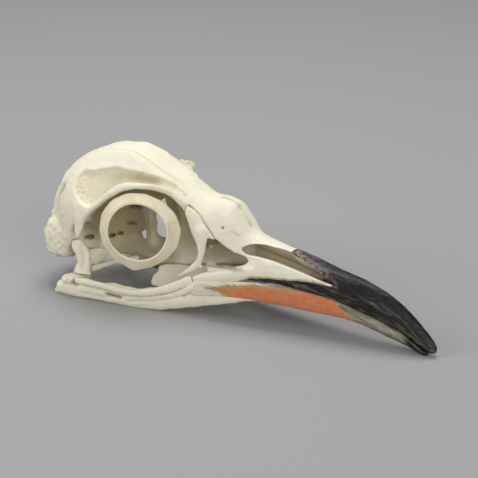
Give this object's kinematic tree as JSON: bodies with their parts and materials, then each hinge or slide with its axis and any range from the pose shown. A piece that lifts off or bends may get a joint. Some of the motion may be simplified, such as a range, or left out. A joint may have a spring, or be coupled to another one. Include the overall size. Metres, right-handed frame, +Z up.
{
  "type": "penguin skull",
  "caption": "Still, life-size skull of a great penguin with its dark horn bill, closed, resting on the lower jaw and the tip of the bill.",
  "frame": {"origin": "On the floor under the middle of the skull, halfway between the back of the braincase and the tip of the bill.", "axes": "+X points along the bill to its tip, +Y to the animal's left, +Z up."},
  "size_m": [0.202, 0.0606, 0.0696],
  "materials": {
    "bone": "dry cream bone, satin, with pitted hollows and fine seams",
    "eye_ring": "thin tan bone plates, satin, lightly spotted",
    "black_horn": "black horn with long fine streaks and a low gloss",
    "bill_plate": "orange horn plate, mottled, pale tan at its edges and rear point, dark towards the tip"
  },
  "bodies": {
    "root": {"cranium": "bone", "upper_bill": "bone", "lacrimal_right": "bone", "lacrimal_left": "bone", "mandible_right": "bone", "mandible_left": "bone", "jugal_bar_right": "bone", "jugal_bar_left": "bone", "quadrate_right": "bone", "quadrate_left": "bone", "pterygoid_right": "bone", "pterygoid_left": "bone", "palatine_right": "bone", "palatine_left": "bone", "sclerotic_ring_right": "eye_ring", "sclerotic_ring_left": "eye_ring", "upper_horn": "black_horn", "lower_horn": "bill_plate"}
  },
  "joints": []
}
